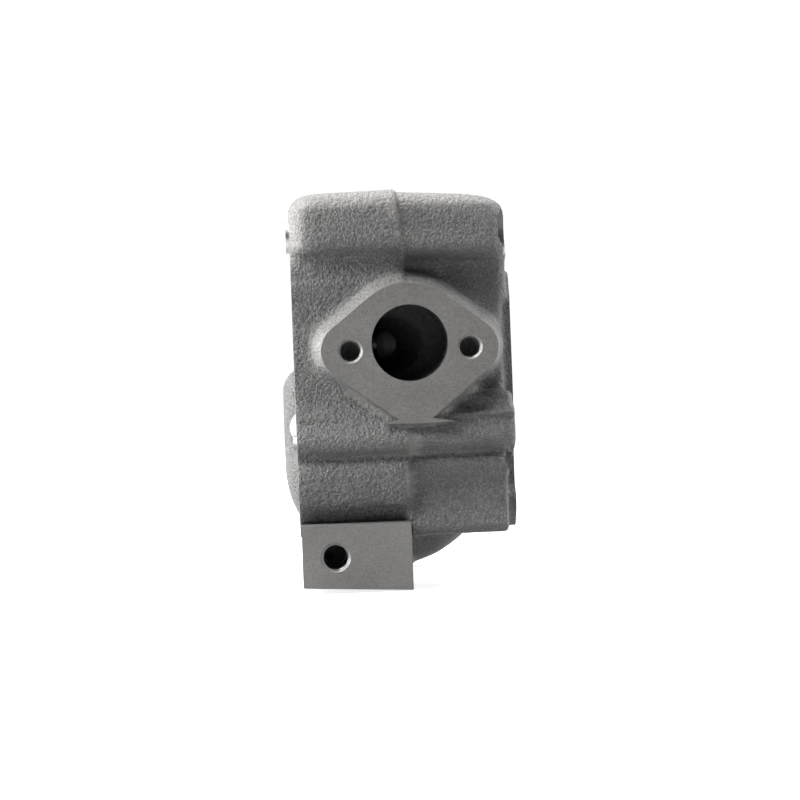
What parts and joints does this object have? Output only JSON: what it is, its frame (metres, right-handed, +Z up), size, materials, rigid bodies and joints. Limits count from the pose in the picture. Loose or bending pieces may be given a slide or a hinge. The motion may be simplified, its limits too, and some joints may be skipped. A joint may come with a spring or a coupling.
{
  "type": "engine cylinder head",
  "caption": "Cast-iron cylinder head for a small water-cooled engine, with side ports, bracket pad and sprung poppet valves.",
  "frame": {"origin": "where the cylinder axis meets the deck face", "axes": "+X runs along the cylinder axis from the deck to the rocker cover, -Y is the intake side, +Z is up, from the pushrod end to the injector end"},
  "size_m": [0.0981, 0.16, 0.1674],
  "materials": {
    "cast_iron": "rough sand-cast grey iron, machined on its joint faces",
    "valve_steel": "ground stainless valve steel",
    "seat_alloy": "ground hard alloy ring",
    "guide_iron": "turned and honed iron",
    "seal_rubber": "moulded fluoro rubber",
    "washer_steel": "hardened pressed steel",
    "spring_steel": "shot-peened oil-tempered wire",
    "black_steel": "oil-blackened forged steel",
    "bright_steel": "ground bright steel",
    "insert_alloy": "turned heat-resisting alloy",
    "zinc_yellow": "yellow zinc-plated pressed steel"
  },
  "bodies": {
    "head": {"head_casting": "cast_iron", "intake_valve_seat": "seat_alloy", "intake_valve_guide": "guide_iron", "intake_stem_seal": "seal_rubber", "intake_spring_seat": "washer_steel", "intake_outer_spring": "spring_steel", "intake_inner_spring": "spring_steel", "exhaust_valve_seat": "seat_alloy", "exhaust_valve_guide": "guide_iron", "exhaust_stem_seal": "seal_rubber", "exhaust_spring_seat": "washer_steel", "exhaust_outer_spring": "spring_steel", "exhaust_inner_spring": "spring_steel", "swirl_chamber_insert": "insert_alloy", "jacket_core_plugs": "zinc_yellow", "deck_dowels": "bright_steel", "oil_gallery_plug": "black_steel", "exhaust_studs": "black_steel"},
    "intake_valve_group": {"intake_valve": "valve_steel", "intake_retainer": "black_steel", "intake_collets": "bright_steel", "intake_stem_cap": "bright_steel"},
    "exhaust_valve_group": {"exhaust_valve": "valve_steel", "exhaust_retainer": "black_steel", "exhaust_collets": "bright_steel", "exhaust_stem_cap": "bright_steel"}
  },
  "joints": [
    {"name": "intake_valve_lift", "type": "slide", "parent": "head", "child": "intake_valve_group", "axis": [-1, 0, 0], "range_m": [0, 0.008], "stiffness_N_per_m": 30000, "springref_m": -0.0075, "deforming": ["intake_outer_spring", "intake_inner_spring"]},
    {"name": "exhaust_valve_lift", "type": "slide", "parent": "head", "child": "exhaust_valve_group", "axis": [-1, 0, 0], "range_m": [0, 0.008], "stiffness_N_per_m": 30000, "springref_m": -0.0075, "deforming": ["exhaust_outer_spring", "exhaust_inner_spring"]}
  ]
}
